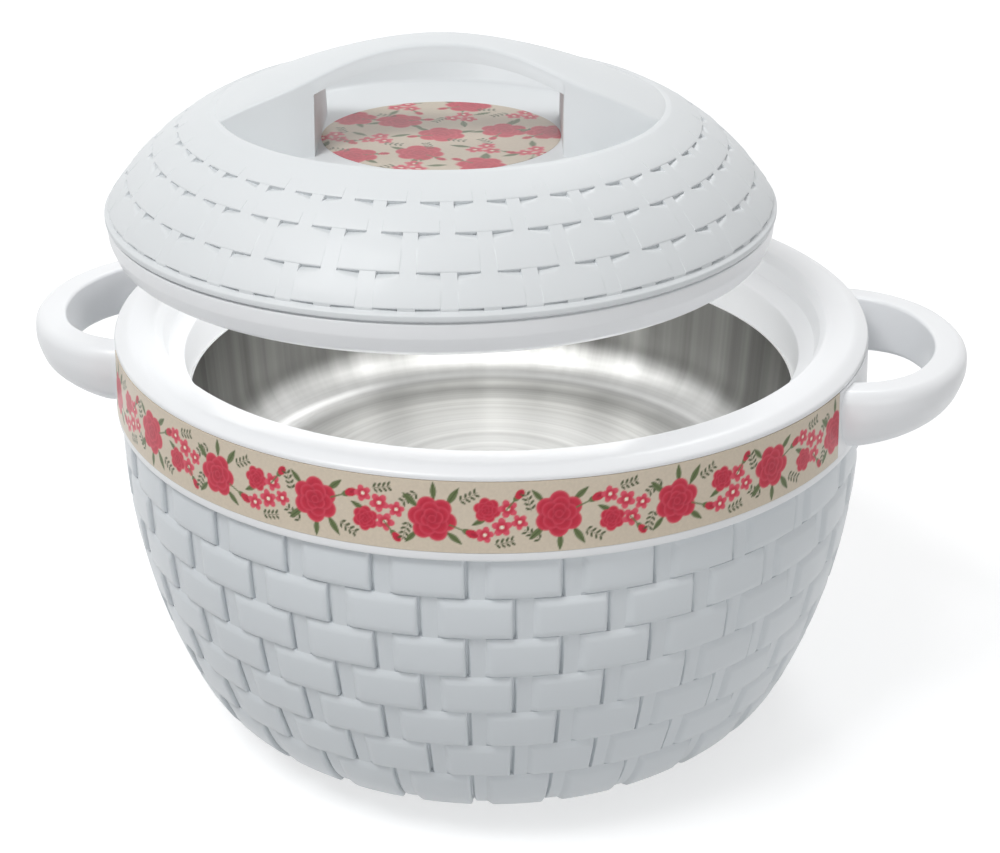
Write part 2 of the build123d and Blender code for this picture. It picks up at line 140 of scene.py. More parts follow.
def moulded_plastic(name, colour, shadow, roughness, coat):
    """Injection-moulded plastic: faint flow clouding, handling marks and a fine orange peel."""
    made, tree, shader = material(
        name, colour, roughness, **{"IOR": 1.49, "Coat Weight": coat, "Coat Roughness": 0.15}
    )
    place = add(tree, "ShaderNodeTexCoord").outputs["Object"]
    flow = add(tree, "ShaderNodeTexNoise", {"Vector": place, "Scale": FLOW_SCALE, "Detail": 3.0})
    # sockets 6 and 7 and output 2 are the colour ones of a Mix node
    tint = add(
        tree,
        "ShaderNodeMix",
        {0: flow.outputs["Fac"], 6: linear(colour), 7: linear(shadow)},
        data_type="RGBA",
    )
    tree.links.new(tint.outputs[2], shader.inputs["Base Color"])
    marks = add(tree, "ShaderNodeTexNoise", {"Vector": place, "Scale": MARKS_SCALE, "Detail": 4.0})
    gloss = add(
        tree,
        "ShaderNodeMapRange",
        {
            "Value": marks.outputs["Fac"],
            "To Min": roughness + GLOSS_SPREAD[0],
            "To Max": roughness + GLOSS_SPREAD[1],
        },
    )
    tree.links.new(gloss.outputs["Result"], shader.inputs["Roughness"])
    peel = add(tree, "ShaderNodeTexNoise", {"Vector": place, "Scale": PEEL_SCALE, "Detail": 2.0})
    bump = add(
        tree,
        "ShaderNodeBump",
        {"Height": peel.outputs["Fac"], "Strength": 0.04, "Distance": PEEL_HEIGHT},
    )
    tree.links.new(bump.outputs["Normal"], shader.inputs["Normal"])
    return made


def closed_up(mesh, crease):
    """Merges a mesh's doubles, turns its faces outwards and marks edges past the crease sharp."""
    work = bmesh.new()
    work.from_mesh(mesh)
    bmesh.ops.remove_doubles(work, verts=work.verts, dist=0.002 * MM)
    bmesh.ops.recalc_face_normals(work, faces=work.faces)
    work.to_mesh(mesh)
    work.free()
    mesh.polygons.foreach_set("use_smooth", [True] * len(mesh.polygons))
    mesh.set_sharp_from_angle(angle=math.radians(crease))


def mesh_object(name, vertices, faces, surface, crease=CREASE):
    """An object from points in millimetres and faces, with its material."""
    mesh = bpy.data.meshes.new(name)
    mesh.from_pydata([tuple(c * MM for c in v) for v in vertices], [], faces)
    closed_up(mesh, crease)
    mesh.materials.append(surface)
    made = bpy.data.objects.new(name, mesh)
    bpy.context.scene.collection.objects.link(made)
    return made


def skin(sections, points, joined=False):
    """Faces between closed outlines of so many points each, set one after another."""
    faces = []
    for k in range(sections if joined else sections - 1):
        a, b = k * points, (k + 1) % sections * points
        faces += [(a + i, b + i, b + (i + 1) % points, a + (i + 1) % points) for i in range(points)]
    return faces


def caps(sections, points):
    """The two end faces of a row of outlines."""
    last = (sections - 1) * points
    return [tuple(range(points)), tuple(last + i for i in reversed(range(points)))]


def bowl_side(length, outward=0.0):
    """Point (radius, height) at a length down the casing's side, moved outwards from the wall."""
    neck = NECK_TOP - NECK_BOTTOM
    if length <= neck:
        return (CASING_RADIUS + outward, NECK_TOP - length)
    middle = CASING_RADIUS - SIDE_ARC_RADIUS
    turn = (length - neck) / SIDE_ARC_RADIUS
    if turn <= SIDE_ARC_TURN:
        reach = SIDE_ARC_RADIUS + outward
        return (middle + reach * math.cos(turn), NECK_BOTTOM - reach * math.sin(turn))
    low = SIDE_ARC_RADIUS - BOTTOM_ARC_RADIUS
    turn = SIDE_ARC_TURN + (length - neck - SIDE_ARC_RADIUS * SIDE_ARC_TURN) / BOTTOM_ARC_RADIUS
    reach = BOTTOM_ARC_RADIUS + outward
    return (
        middle + low * math.cos(SIDE_ARC_TURN) + reach * math.cos(turn),
        NECK_BOTTOM - low * math.sin(SIDE_ARC_TURN) - reach * math.sin(turn),
    )


def eased(distance, width):
    """Share of the full height at a distance inside an edge that is rounded over a width."""
    return math.sqrt(1 - (1 - min(max(distance / width, 0.0), 1.0)) ** 2)


def sloped(distance, width):
    """Share of the full height at a distance inside an edge that slopes up over a width."""
    return 1 - (1 - min(max(distance / width, 0.0), 1.0)) ** 1.5


def off_middle(angle, row):
    """Degrees from the middle of the nearest block of a row, above zero to its right."""
    shift = PITCH / 2 * (row % 2)
    return (angle - shift + PITCH / 2) % PITCH - PITCH / 2


def weave_height(angle, station, weave):
    """Height of a weave: blocks, the strips between them, and the gaps over and under them."""
    rows = weave["rows"]
    row = max(i for i in range(len(rows)) if rows[i][0] <= station or i == 0)
    start, end = rows[row]
    down, left = station - start, end - station
    middle = off_middle(angle, row)
    if abs(middle) > BLOCK_HALF:
        return weave["strip"](middle, down / (end - start))
    if row > 0 and down < weave["gap_above"]:
        above = off_middle(angle, row - 1)
        if abs(above) > BLOCK_HALF:
            return weave["strip"](above, 1.0)
        return weave["gap"](middle, down)
    if left < weave["gap_below"]:
        below = off_middle(angle, row + 1)
        if abs(below) > BLOCK_HALF:
            return weave["strip"](below, 0.0)
        return weave["gap"](below, 0.0)
    return weave["block"](middle, down - weave["gap_above"], left - weave["gap_below"])


def pitch_angles():
    """Degrees across one pitch of a weave, closest together at its blocks' and strips' edges."""
    angles = [*MIDDLE_TURNS]
    angles += [BLOCK_HALF + off for off in RIGHT_TURNS] + [off - BLOCK_HALF for off in LEFT_TURNS]
    angles += [(angle + PITCH) % PITCH - PITCH / 2 for angle in angles]
    return sorted({round(angle, 4) for angle in angles + [-PITCH / 2, PITCH / 2]})


def row_stations(weave, near_top, near_foot):
    """Lengths down a weave at which its rows are drawn, closest together at the blocks' edges."""
    places = []
    for start, end in weave["rows"]:
        first, last = start + weave["gap_above"], end - weave["gap_below"]
        places += [first + step for step in near_top]
        places += [last - step for step in reversed(near_foot)]
    return places


def weave_tree():
    """Geometry nodes that repeat one pitch of a weave round an axis, then place the ring."""
    tree = bpy.data.node_groups.new("Weave round", "GeometryNodeTree")
    for name, kind in (
        ("Geometry", "NodeSocketGeometry"),
        ("Blocks round", "NodeSocketInt"),
        ("Turn", "NodeSocketFloat"),
        ("Centre", "NodeSocketVector"),
        ("Plastic", "NodeSocketMaterial"),
    ):
        tree.interface.new_socket(name, in_out="INPUT", socket_type=kind)
    tree.interface.new_socket("Geometry", in_out="OUTPUT", socket_type="NodeSocketGeometry")
    given = add(tree, "NodeGroupInput").outputs
    points = add(tree, "GeometryNodePoints", {"Count": given["Blocks round"]})
    index = add(tree, "GeometryNodeInputIndex")
    pitch = add(
        tree, "ShaderNodeMath", {0: 2 * math.pi, 1: given["Blocks round"]}, operation="DIVIDE"
    )
    angle = add(
        tree,
        "ShaderNodeMath",
        {0: index.outputs[0], 1: pitch.outputs[0], 2: given["Turn"]},
        operation="MULTIPLY_ADD",
    )
    spin = add(tree, "ShaderNodeCombineXYZ", {"Z": angle.outputs[0]})
    stood = add(
        tree,
        "GeometryNodeInstanceOnPoints",
        {"Points": points.outputs[0], "Instance": given["Geometry"], "Rotation": spin.outputs[0]},
    )
    real = add(tree, "GeometryNodeRealizeInstances", {"Geometry": stood.outputs[0]})
    placed = add(
        tree,
        "GeometryNodeTransform",
        {"Geometry": real.outputs[0], "Translation": given["Centre"]},
    )
    dressed = add(
        tree,
        "GeometryNodeSetMaterial",
        {"Geometry": placed.outputs[0], "Material": given["Plastic"]},
    )
    add(tree, "NodeGroupOutput", {"Geometry": dressed.outputs[0]})
    return tree


WEAVE = weave_tree()


def woven_ring(name, head, side, stations, tail, weave, surface, turn=0.0, centre=(0, 0, 0)):
    """A closed ring with a woven side: one pitch of it is drawn, then repeated round the axis."""
    angles = pitch_angles()
    vertices = []
    for angle in angles:
        outline = head + [side(s, weave_height(angle, s, weave)) for s in stations] + tail
        cos, sin = math.cos(math.radians(angle)), math.sin(math.radians(angle))
        vertices += [(r * cos, r * sin, z) for r, z in outline]
    points = len(head) + len(stations) + len(tail)
    made = mesh_object(name, vertices, skin(len(angles), points), surface)
    modifier = made.modifiers.new("weave", "NODES")
    modifier.node_group = WEAVE
    inputs = {s.name: s.identifier for s in WEAVE.interface.items_tree if s.in_out == "INPUT"}
    modifier[inputs["Blocks round"]] = BLOCKS_ROUND
    modifier[inputs["Turn"]] = turn
    modifier[inputs["Centre"]] = [c * MM for c in centre]
    modifier[inputs["Plastic"]] = surface
    grown = made.evaluated_get(bpy.context.evaluated_depsgraph_get())
    plain = bpy.data.meshes.new_from_object(grown)
    made.modifiers.clear()
    made.data = plain
    plain.name = name
    closed_up(plain, CREASE)
    return made


def casing_block(middle, down, left):
    """A block of the casing's weave: flat, sloped at its top and left, crisp at right and foot."""
    slope = min(sloped(middle + BLOCK_HALF, BLOCK_LEFT_SLOPE), sloped(down, BLOCK_TOP_SLOPE))
    crisp = min(eased(BLOCK_HALF - middle, BLOCK_RIGHT_ROUND), eased(left, BLOCK_FOOT_ROUND))
    low = STRIP_RISE - GROOVE_DEPTH
    return (low + (BLOCK_RELIEF - low) * slope) * crisp


def casing_strip(middle, down):
    """A strip between two blocks: flat, with a groove at its left, deepest at a block's foot."""
    if middle < 0:
        return STRIP_RISE - GROOVE_DEPTH
    groove = GROOVE_DEPTH * (FOOT_DEEPER if down > FOOT_SHARE else 1.0)
    rise = eased(middle - BLOCK_HALF - GROOVE_TURN, STRIP_ROUND)
    return (STRIP_RISE - GROOVE_DEPTH + groove) * rise - groove


def casing_gap(_middle, _down):
    """The fine gap between two rows of the casing, the same everywhere."""
    return ROW_GAP_RISE


# satin and faintly blue-grey, with soft wide highlights; part of its grey is painted shade
SHADED_CASING_PLASTIC = moulded_plastic(
    "polypropylene, moulded, pale grey", "#d5dadd", "#cfd4d8", roughness=0.36, coat=0.2
)
side_length = (
    NECK_TOP
    - NECK_BOTTOM
    + SIDE_ARC_RADIUS * SIDE_ARC_TURN
    + BOTTOM_ARC_RADIUS * (math.pi / 2 - SIDE_ARC_TURN)
)
row_ends = [sum(ROW_LENGTHS[:row]) for row in range(len(ROW_LENGTHS) + 1)]
casing_weave = {
    "rows": list(zip(row_ends[:-1], row_ends[1:])),
    "gap_above": ROW_GAP,
    "gap_below": ROW_GAP,
    "gap": casing_gap,
    "block": casing_block,
    "strip": casing_strip,
}
casing_stations = row_stations(casing_weave, TOP_LENGTHS, FOOT_LENGTHS)
casing_stations += [row_ends[-2] + length for length in LAST_ROW_LENGTHS]
low_side = [
    row_ends[-1] + (side_length - row_ends[-1]) * k / LOW_STEPS for k in range(1, LOW_STEPS + 1)
]
inner_side = [
    bowl_side(side_length * k / INNER_STEPS, -CASING_WALL) for k in reversed(range(INNER_STEPS + 1))
]
floor_level = bowl_side(side_length)[1]
spigot = [(CASING_RADIUS - CASING_WALL, SPIGOT_TOP)]
spigot += [(SPIGOT_RADIUS, SPIGOT_TOP), (SPIGOT_RADIUS, SHOULDER)]
casing = woven_ring(
    "casing",
    spigot,
    bowl_side,
    sorted(casing_stations),
    [
        *[bowl_side(s, -GROOVE_DEPTH) for s in low_side],
        (COVER_HOLE_RADIUS, floor_level + GROOVE_DEPTH),
        (COVER_HOLE_RADIUS, floor_level + CASING_WALL),
        *inner_side,
    ],
    casing_weave,
    SHADED_CASING_PLASTIC,
)
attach(casing, "pot")
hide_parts("outer_shell")

# Base cover
# A moulded cover with the foot ring, snapped under the casing and made of the same
# plastic. The CAD node has its full shape, so it only takes the material.


def finish_node(name, surface):
    """Gives a carried CAD node its material."""
    slots = nodes[name].data.materials
    for index in range(len(slots)):
        slots[index] = surface


finish_node("base_cover", SHADED_CASING_PLASTIC)

# Steel liner
# A deep-drawn stainless bowl with a flat floor and a wide corner, lightly brushed
# inside. Its wall shows upright streaks and its floor soft rings, with painted reflection bands in
# the grain's colour, and the wall is darker than the floor as painted shade.
LINER_WALL = 0.8
LINER_TOP = (122.4, 145.0)
LINER_FLOOR = (97.0, 93.0)
LINER_CORNER = 24.0
LINER_FLANGE = 127.0
CORNER_STEPS = 14

# streaks are per radian round the wall, about 30 in all, and rings 4.5 mm apart
STREAKS_SCALE = 5.0
RINGS_SCALE = 220.0
# the grain's colours run from dark to bright: brushing grain with painted reflection bands in it
DARK_GRAIN_AND_REFLECTION = "#9d9d9b"
BRIGHT_GRAIN_AND_REFLECTION = "#f7f7f6"
# painted shade: the tint that darkens the upright wall against the floor
PAINTED_WALL_SHADE = "#bcbcba"


def lathe(
    name, profile, surface, centre=(0, 0, 0), steps=192, start=0.0, sweep=2 * math.pi, crease=CREASE
):
    """A closed profile turned round an upright axis, all round or through a part turn."""
    whole = abs(sweep - 2 * math.pi) < 1e-6
    sections = steps if whole else steps + 1
    vertices = []
    for k in range(sections):
        turn = start + sweep * k / steps
        cos, sin = math.cos(turn), math.sin(turn)
        vertices += [(centre[0] + r * cos, centre[1] + r * sin, centre[2] + z) for r, z in profile]
    faces = skin(sections, len(profile), joined=whole)
    if not whole:
        faces += caps(sections, len(profile))
    return mesh_object(name, vertices, faces, surface, crease)


def drawn_steel(name, colour, roughness):
    """Stainless steel, deep drawn and brushed: streaked up the wall, ringed on the floor, with
    painted reflection bands in the grain's colour and painted shade on the wall.
    """
    made, tree, shader = material(name, colour, roughness, Metallic=1.0)
    place = add(tree, "ShaderNodeTexCoord").outputs["Object"]
    parts = add(tree, "ShaderNodeSeparateXYZ", {"Vector": place}).outputs
    turn = add(tree, "ShaderNodeMath", {0: parts["Y"], 1: parts["X"]}, operation="ARCTAN2")
    round_wall = add(tree, "ShaderNodeCombineXYZ", {"X": turn.outputs[0]})
    streaks = add(
        tree,
        "ShaderNodeTexNoise",
        {
            "Vector": round_wall.outputs[0],
            "Scale": STREAKS_SCALE,
            "Detail": 5.0,
            "Roughness": 0.56,
        },
    )
    flat = add(tree, "ShaderNodeCombineXYZ", {"X": parts["X"], "Y": parts["Y"]})
    radius = add(tree, "ShaderNodeVectorMath", {0: flat.outputs[0]}, operation="LENGTH")
    along = add(tree, "ShaderNodeCombineXYZ", {"X": radius.outputs["Value"]})
    rings = add(
        tree,
        "ShaderNodeTexNoise",
        {"Vector": along.outputs[0], "Scale": RINGS_SCALE, "Detail": 4.0},
    )
    normal = add(tree, "ShaderNodeNewGeometry").outputs["Normal"]
    up = add(tree, "ShaderNodeSeparateXYZ", {"Vector": normal})
    lying = add(
        tree, "ShaderNodeMath", {0: up.outputs["Z"], 1: 2.0}, operation="POWER", use_clamp=True
    )
    grain = add(
        tree,
        "ShaderNodeMix",
        {0: lying.outputs[0], 2: streaks.outputs["Fac"], 3: rings.outputs["Fac"]},
    )
    # the floor's rings are fainter than the wall's streaks, and the floor's colour keeps to the
    # bright end, painted light that makes it brighter than the wall
    faint = add(tree, "ShaderNodeMath", {0: lying.outputs[0], 1: 0.55}, operation="MULTIPLY")
    contrast = add(
        tree,
        "ShaderNodeMapRange",
        {
            "Value": grain.outputs[0],
            "From Min": 0.34,
            "From Max": 0.66,
            "To Min": faint.outputs[0],
        },
    )
    # painted reflection: the streaks and rings set the colour from dark to bright, over the
    # brushing's grain
    brushed = add(
        tree,
        "ShaderNodeMix",
        {0: contrast.outputs[0], 6: linear(DARK_GRAIN_AND_REFLECTION), 7: linear(BRIGHT_GRAIN_AND_REFLECTION)},
        data_type="RGBA",
    )
    # painted shade: this tint darkens the upright wall against the floor
    shaded_wall = add(
        tree,
        "ShaderNodeMix",
        {0: lying.outputs[0], 6: linear(PAINTED_WALL_SHADE), 7: (1, 1, 1, 1)},
        data_type="RGBA",
    )
    tint = add(
        tree,
        "ShaderNodeMix",
        {0: 1.0, 6: brushed.outputs[2], 7: shaded_wall.outputs[2]},
        data_type="RGBA",
        blend_type="MULTIPLY",
    )
    tree.links.new(tint.outputs[2], shader.inputs["Base Color"])
    # the floor was scoured flat, which leaves it a little duller than the wall
    dull = add(
        tree,
        "ShaderNodeMapRange",
        {"Value": lying.outputs[0], "To Min": roughness + 0.1, "To Max": roughness + 0.12},
    )
    streaky = add(
        tree,
        "ShaderNodeMath",
        {0: grain.outputs[0], 1: -0.14, 2: dull.outputs[0]},
        operation="MULTIPLY_ADD",
    )
    tree.links.new(streaky.outputs[0], shader.inputs["Roughness"])
    bump = add(
        tree,
        "ShaderNodeBump",
        {"Height": grain.outputs[0], "Strength": 0.12, "Distance": 0.0006},
    )
    tree.links.new(bump.outputs["Normal"], shader.inputs["Normal"])
    return made


def liner_corner(outset):
    """The arc between the liner's floor and its wall, from the floor up."""
    middle = (LINER_FLOOR[0], LINER_FLOOR[1] + LINER_CORNER)
    reach = LINER_CORNER + outset
    turns = [math.pi / 2 * k / CORNER_STEPS for k in range(CORNER_STEPS + 1)]
    return [(middle[0] + reach * math.sin(t), middle[1] - reach * math.cos(t)) for t in turns]


# a grey wall with painted shade and upright bands of painted reflection, and a floor painted
# brighter and left duller
STEEL = drawn_steel("stainless steel, deep drawn and brushed", "#c7c7c5", roughness=0.3)
liner_profile = [
    (0.0, LINER_FLOOR[1]),
    (LINER_FLOOR[0] / 2, LINER_FLOOR[1]),
    *liner_corner(0.0),
    LINER_TOP,
    (LINER_FLANGE, LINER_TOP[1]),
    (LINER_FLANGE, LINER_TOP[1] - LINER_WALL),
    (LINER_TOP[0] + LINER_WALL, LINER_TOP[1] - LINER_WALL),
    *reversed(liner_corner(LINER_WALL)),
    (LINER_FLOOR[0] / 2, LINER_FLOOR[1] - LINER_WALL),
    (0.0, LINER_FLOOR[1] - LINER_WALL),
]
liner = lathe("steel_bowl", liner_profile, STEEL, steps=256)
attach(liner, "pot")
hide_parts("steel_liner")

# Foam
# Rigid polyurethane foam, poured between the casing and the liner, and inside the lid.
# Nothing of it shows.
FOAM_COLOUR = "#e3d8ab"
CELLS_SCALE = 1000.0


def rigid_foam(name, colour):
    """Rigid foam: straw-coloured, with cells about 1 mm across."""
    made, tree, shader = material(name, colour, 0.9)
    place = add(tree, "ShaderNodeTexCoord").outputs["Object"]
    cells = add(tree, "ShaderNodeTexVoronoi", {"Vector": place, "Scale": CELLS_SCALE})
    shade = add(
        tree,
        "ShaderNodeMapRange",
        {"Value": cells.outputs["Distance"], "To Min": 0.75, "To Max": 1.0},
    )
    tint = add(
        tree,
        "ShaderNodeMix",
        {0: 1.0, 6: linear(colour), 7: shade.outputs["Result"]},
        data_type="RGBA",
        blend_type="MULTIPLY",
    )
    tree.links.new(tint.outputs[2], shader.inputs["Base Color"])
    bump = add(
        tree,
        "ShaderNodeBump",
        {"Height": cells.outputs["Distance"], "Strength": 0.5, "Distance": 0.0003},
    )
    tree.links.new(bump.outputs["Normal"], shader.inputs["Normal"])
    return made


# dull straw yellow, full of fine cells
FOAM = rigid_foam("polyurethane foam, rigid", FOAM_COLOUR)
foam_profile = [
    (0.0, floor_level + CASING_WALL),
    *inner_side,
    (CASING_RADIUS - CASING_WALL, LINER_TOP[1] - LINER_WALL),
    (LINER_TOP[0] + LINER_WALL, LINER_TOP[1] - LINER_WALL),
    *reversed(liner_corner(LINER_WALL)),
    (0.0, LINER_FLOOR[1] - LINER_WALL),
]
foam = lathe("foam_filling", foam_profile, FOAM, steps=128)
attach(foam, "pot")
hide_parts("foam_fill")
finish_node("lid_foam", FOAM)

# Rim collar
# A white moulding that covers the casing's top edge: a skirt with a bead and a shallow
# channel for the band, a rounded crown, and a recess with a conical seat for the lid.
ARC_STEP = math.radians(15)


def rounded(corners):
    """A profile from corners (radius, height) or (radius, height, rounding) with their arcs."""
    points = []
    count = len(corners)
    for i, corner in enumerate(corners):
        here = Vector(corner[:2])
        if len(corner) == 2:
            points.append(tuple(here))
            continue
        before = Vector(corners[i - 1][:2]) - here
        after = Vector(corners[(i + 1) % count][:2]) - here
        half = before.angle(after) / 2
        # a rounding takes up less than half of each side that it joins
        reach = min(corner[2] / math.tan(half), 0.49 * before.length, 0.49 * after.length)
        radius = reach * math.tan(half)
        inwards = (before.normalized() + after.normalized()).normalized()
        middle = here + inwards * (radius / math.sin(half))
        start = here + before.normalized() * reach - middle
        sweep = start.angle_signed(here + after.normalized() * reach - middle)
        steps = max(2, math.ceil(abs(sweep) / ARC_STEP))
        for step in range(steps + 1):
            arm = start.copy()
            arm.rotate(Matrix.Rotation(-sweep * step / steps, 2))
            points.append(tuple(middle + arm))
    return points


# near white and glossier than the casing, with a clear highlight along the crown
WHITE_PLASTIC = moulded_plastic(
    "polypropylene, moulded, white", "#edeef0", "#e9ebed", roughness=0.37, coat=0.22
)
collar_profile = rounded([
    # the skirt's inside, its foot and the bead
    (147.5, 171.0),
    (147.5, 140.5),
    (151.9, 140.5, 1.2),
    (151.9, 144.2, 0.8),
    # the band's channel
    (151.0, 144.2),
    (149.6, 170.6),
    # the crown
    (150.4, 170.6, 0.3),
    (150.4, 172.4, 2.2),
    (145.6, 174.9, 6.0),
    (134.3, 174.6, 2.6),
    # the recess, with the conical seat in it
    (131.6, 171.0, 1.6),
    (129.9, 165.0, 0.6),
    (123.9, 160.7, 1.5),
    # the lip over the liner, and the hidden side
    (123.3, 145.0),
    (125.6, 145.0),
    (126.2, 159.5),
    (130.7, 162.7),
    (132.2, 164.0),
    (133.9, 170.3),
    (141.0, 172.6),
])
collar = lathe("rim_collar_moulding", collar_profile, WHITE_PLASTIC, steps=224)
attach(collar, "pot")
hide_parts("rim_collar")

# Printed band
# Cream polypropylene film with a flower print, set in the rim's channel in two strips
# between the handles. The print is a free pattern of roses, blossoms, buds and sprigs.
BAND_BOTTOM = (152.0, 144.3)
BAND_TOP = (150.6, 170.5)
BAND_THICKNESS = 0.9
BAND_STEP = 0.42
BAND_END_GAP = 0.0012
SADDLE_HALF_TURN = math.radians(23.0)
GARLAND_LENGTH = 42.0
ROSE_SIZE = 8.1
MOTIF_REACH = 2.8
CREAM = "#d6c9b6"
INKS = {
    "deep": "#9c1730",
    "rose": "#c62a42",
    "light": "#dc5468",
    "leaf": "#66744a",
    "dark_leaf": "#46522f",
    "heart": "#f6ead6",
}
# rings of a rose's petals from outside in: how many, how far out and how wide, as
# shares of the rose's size
PETALS = ((6, 0.6, 0.42), (5, 0.4, 0.37), (4, 0.2, 0.28), (1, 0.0, 0.17))
# the film's faint weave is about 1 mm across
FILM_SCALE = 900.0


def soft(value, width):
    """Share of ink at a signed distance inside an outline, with a soft edge."""
    return np.clip(value / width + 0.5, 0, 1)


def lay(colours, share, ink):
    """Lays an ink over the colours with the share given for each point."""
    target = np.array(linear(INKS[ink])[:3])
    colours += share[:, None] * (target - colours)


def turned(x, y, lean):
    """A place seen from axes turned by an angle: along the turned X, and along the turned Y."""
    return x * math.cos(lean) + y * math.sin(lean), y * math.cos(lean) - x * math.sin(lean)


# the motifs are drawn round their own middle: numbers beside a size are shares of it, and
# the others are millimetres of a line's half width or of its soft edge
def rose(x, y, colours, size, lean):
    """An open rose: rings of petals, each pale at its lip and deep under the next ring."""
    reach = np.hypot(x, y) / size
    for count, out, wide in PETALS:
        for k in range(count):
            turn = lean + 2 * math.pi * k / count + 4 * out
            across = x / size - out * math.cos(turn)
            away = np.hypot(across, y / size - out * math.sin(turn)) / wide
            inside = soft(1 - away, 0.45 / (wide * size))
            lay(colours, inside, "rose")
            lay(colours, inside * soft(away - 0.8, 0.3) * 0.6, "light")
            lay(colours, inside * soft(out + 0.05 - reach, 0.3) * 0.75, "deep")


def blossom(x, y, colours, size, lean):
    """A small blossom of five round petals with a pale heart."""
    reach, turn = np.hypot(x, y), np.arctan2(y, x) + lean
    outline = size * (0.62 + 0.38 * np.abs(np.cos(2.5 * turn)))
    inside = soft(outline - reach, 0.4)
    lay(colours, inside, "light")
    lay(colours, inside * soft(0.55 * size - reach, 0.8) * 0.75, "rose")
    lay(colours, soft(0.2 * size - reach, 0.3), "heart")


def bud(x, y, colours, size, lean):
    """A closed bud on a short stalk, held by two green sepals."""
    u, v = turned(x, y, lean)
    lay(colours, soft(0.28 - np.abs(v), 0.3) * (u < 0) * (u > -2.4 * size), "leaf")
    lay(colours, soft(0.62 * size - np.hypot(u, v * 1.5), 0.4), "leaf")
    lay(colours, soft(0.85 * size - np.hypot((u - 0.7 * size), v * 1.45), 0.4), "rose")
    lay(colours, soft(0.4 * size - np.hypot(u - 0.9 * size, v * 2.0), 0.4) * 0.6, "deep")


def leaf(x, y, colours, size, lean):
    """A pointed leaf with a darker middle rib."""
    u, v = turned(x, y, lean)
    outline = 0.3 * size * (1 - np.clip(np.abs(u) / size, 0, 1) ** 1.6)
    lay(colours, soft(outline - np.abs(v), 0.35) * (np.abs(u) < size), "leaf")
    lay(colours, soft(0.16 - np.abs(v), 0.3) * (np.abs(u) < 0.85 * size), "dark_leaf")


def sprig(x, y, colours, size, lean):
    """A thin bowed stem with pairs of small drop-shaped leaves."""
    u, v = turned(x, y, lean)
    v = v - 0.06 * u * u / size
    lay(colours, soft(0.14 - np.abs(v), 0.3) * (np.abs(u) < size) * 0.7, "dark_leaf")
    for k in range(4):
        for side in (-1, 1):
            along = u - size * (0.5 * k - 0.7)
            off = side * v - 1.0
            long = along * 0.6 + off * 0.8
            wide = off * 0.6 - along * 0.8
            lay(colours, soft(0.95 - np.hypot(long, wide * 2.1), 0.4) * 0.95, "dark_leaf")


MOTIFS = {"rose": rose, "blossom": blossom, "bud": bud, "leaf": leaf, "sprig": sprig}


def printed(x, y, plan):
    """Linear colours at points of a flat print, from a plan of (motif, x, y, size, lean)."""
    colours = np.tile(np.array(linear(CREAM)[:3]), (len(x), 1))
    for motif, mx, my, size, lean in plan:
        beside = np.abs(x - mx) < MOTIF_REACH * size
        near = np.nonzero(beside & (np.abs(y - my) < MOTIF_REACH * size))[0]
        if len(near):
            patch = colours[near]
            MOTIFS[motif](x[near] - mx, y[near] - my, patch, size, lean)
            colours[near] = patch
    return colours


def print_film(name, colour):
    """Satin printed film: the ink is the piece's own colour attribute, on a faint weave."""
    made, tree, shader = material(name, colour, 0.3, **{"Specular IOR Level": 0.25})
    ink = add(tree, "ShaderNodeAttribute", attribute_name="print", attribute_type="GEOMETRY")
    place = add(tree, "ShaderNodeTexCoord").outputs["Object"]
    grain = add(tree, "ShaderNodeTexNoise", {"Vector": place, "Scale": FILM_SCALE, "Detail": 2.0})
    shade = add(
        tree,
        "ShaderNodeMapRange",
        {"Value": grain.outputs["Fac"], "To Min": 0.9, "To Max": 1.06},
    )
    tint = add(
        tree,
        "ShaderNodeMix",
        {0: 1.0, 6: ink.outputs["Color"], 7: shade.outputs["Result"]},
        data_type="RGBA",
        blend_type="MULTIPLY",
    )
    tree.links.new(tint.outputs[2], shader.inputs["Base Color"])
    bump = add(
        tree,
        "ShaderNodeBump",
        {"Height": grain.outputs["Fac"], "Strength": 0.05, "Distance": 0.0002},
    )
    tree.links.new(bump.outputs["Normal"], shader.inputs["Normal"])
    return made


def ink_on(made, colours):
    """Stores linear colours on a mesh's points as its print."""
    layer = made.data.attributes.new("print", "FLOAT_COLOR", "POINT")
    opaque = np.c_[colours, np.ones(len(colours))]
    layer.data.foreach_set("color", opaque.astype(np.float32).ravel())


# cream with red and green ink, satin, so that the ink stays deep from any side
FILM = print_film("polypropylene film, printed", CREAM)
band_radius = (BAND_BOTTOM[0] + BAND_TOP[0]) / 2
band_rise = BAND_TOP[1] - BAND_BOTTOM[1]


